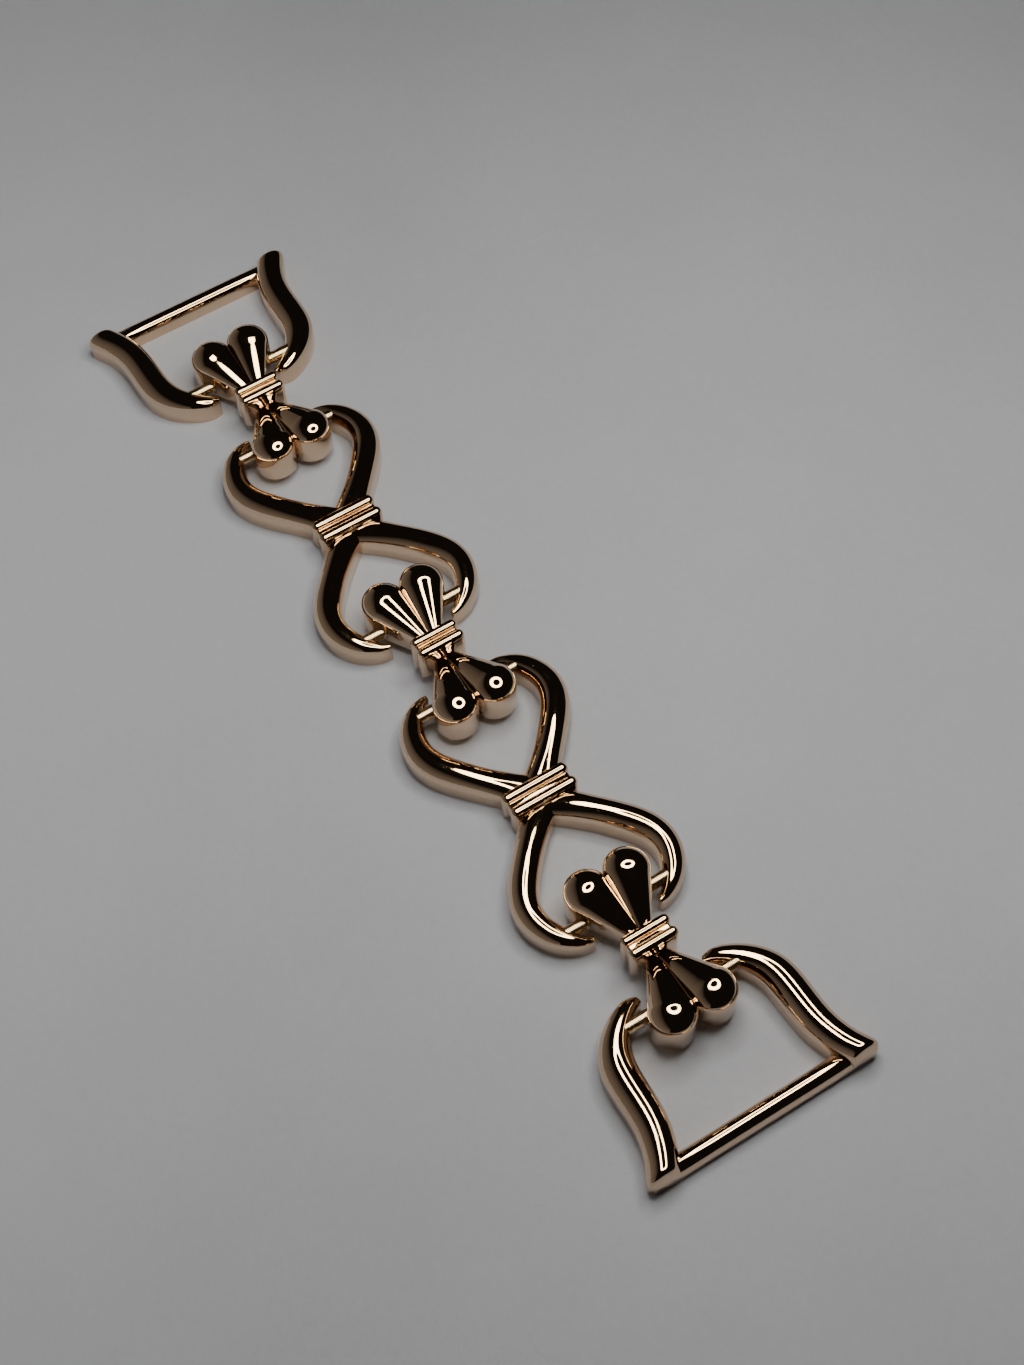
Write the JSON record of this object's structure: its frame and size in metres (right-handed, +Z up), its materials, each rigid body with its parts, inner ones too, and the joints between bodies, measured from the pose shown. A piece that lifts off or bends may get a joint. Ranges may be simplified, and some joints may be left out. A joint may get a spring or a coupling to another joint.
{
  "type": "articulated strap connector",
  "caption": "Jointed cast chain of figure-eight links and double-heart knuckles on hinge pins, ending in flared frames with a bar for a flat strap.",
  "frame": {"origin": "middle of the surface the chain lies on, below the middle knuckle", "axes": "+X along the chain, end_frame_1 at -X and end_frame_2 at +X; +Y across it, along the hinge pins; +Z up out of the surface it lies on"},
  "size_m": [0.132, 0.0284, 0.0067],
  "materials": {
    "rose_gold_plate_frame": "mirror-polished rose-gold plating",
    "rose_gold_plate": "mirror-polished rose-gold plating",
    "rose_gold_plate_knuckle": "mirror-polished rose-gold plating",
    "plated_pin": "polished plating, slightly duller than the castings"
  },
  "bodies": {
    "end_frame_1": {"end_frame_1": "rose_gold_plate_frame"},
    "end_frame_2": {"end_frame_2": "rose_gold_plate_frame"},
    "figure_link_1": {"figure_link_1": "rose_gold_plate"},
    "figure_link_2": {"figure_link_2": "rose_gold_plate"},
    "heart_knuckle_1": {"heart_knuckle_1": "rose_gold_plate_knuckle"},
    "heart_knuckle_2": {"heart_knuckle_2": "rose_gold_plate_knuckle"},
    "heart_knuckle_3": {"heart_knuckle_3": "rose_gold_plate_knuckle"},
    "hinge_pin_1": {"hinge_pin_1": "plated_pin"},
    "hinge_pin_2": {"hinge_pin_2": "plated_pin"},
    "hinge_pin_3": {"hinge_pin_3": "plated_pin"},
    "hinge_pin_4": {"hinge_pin_4": "plated_pin"},
    "hinge_pin_5": {"hinge_pin_5": "plated_pin"},
    "hinge_pin_6": {"hinge_pin_6": "plated_pin"}
  },
  "joints": [
    {"name": "pin_3_slide", "type": "slide", "parent": "heart_knuckle_2", "child": "hinge_pin_3", "axis": [0, 1, 0], "range_m": [-0.0004, 0.0004]},
    {"name": "link_1_hinge", "type": "hinge", "parent": "hinge_pin_3", "child": "figure_link_1", "pos_m": [-0.0062, 0, 0.0026], "axis": [0, 1, 0], "range_deg": [-50, 62]},
    {"name": "pin_2_hinge", "type": "hinge", "parent": "figure_link_1", "child": "hinge_pin_2", "pos_m": [-0.0378, 0, 0.0026], "axis": [0, -1, 0], "range_deg": [-62, 50]},
    {"name": "knuckle_1_slide", "type": "slide", "parent": "hinge_pin_2", "child": "heart_knuckle_1", "axis": [0, 1, 0], "range_m": [-0.0004, 0.0004]},
    {"name": "pin_1_slide", "type": "slide", "parent": "heart_knuckle_1", "child": "hinge_pin_1", "axis": [0, 1, 0], "range_m": [-0.0004, 0.0004]},
    {"name": "frame_1_hinge", "type": "hinge", "parent": "hinge_pin_1", "child": "end_frame_1", "pos_m": [-0.0502, 0, 0.0026], "axis": [0, 1, 0], "range_deg": [-42, 72]},
    {"name": "pin_4_slide", "type": "slide", "parent": "heart_knuckle_2", "child": "hinge_pin_4", "axis": [0, 1, 0], "range_m": [-0.0004, 0.0004]},
    {"name": "link_2_hinge", "type": "hinge", "parent": "hinge_pin_4", "child": "figure_link_2", "pos_m": [0.0062, 0, 0.0026], "axis": [0, -1, 0], "range_deg": [-50, 62]},
    {"name": "pin_5_hinge", "type": "hinge", "parent": "figure_link_2", "child": "hinge_pin_5", "pos_m": [0.0378, 0, 0.0026], "axis": [0, 1, 0], "range_deg": [-62, 50]},
    {"name": "knuckle_3_slide", "type": "slide", "parent": "hinge_pin_5", "child": "heart_knuckle_3", "axis": [0, 1, 0], "range_m": [-0.0004, 0.0004]},
    {"name": "pin_6_slide", "type": "slide", "parent": "heart_knuckle_3", "child": "hinge_pin_6", "axis": [0, 1, 0], "range_m": [-0.0004, 0.0004]},
    {"name": "frame_2_hinge", "type": "hinge", "parent": "hinge_pin_6", "child": "end_frame_2", "pos_m": [0.0502, 0, 0.0026], "axis": [0, -1, 0], "range_deg": [-42, 72]}
  ]
}
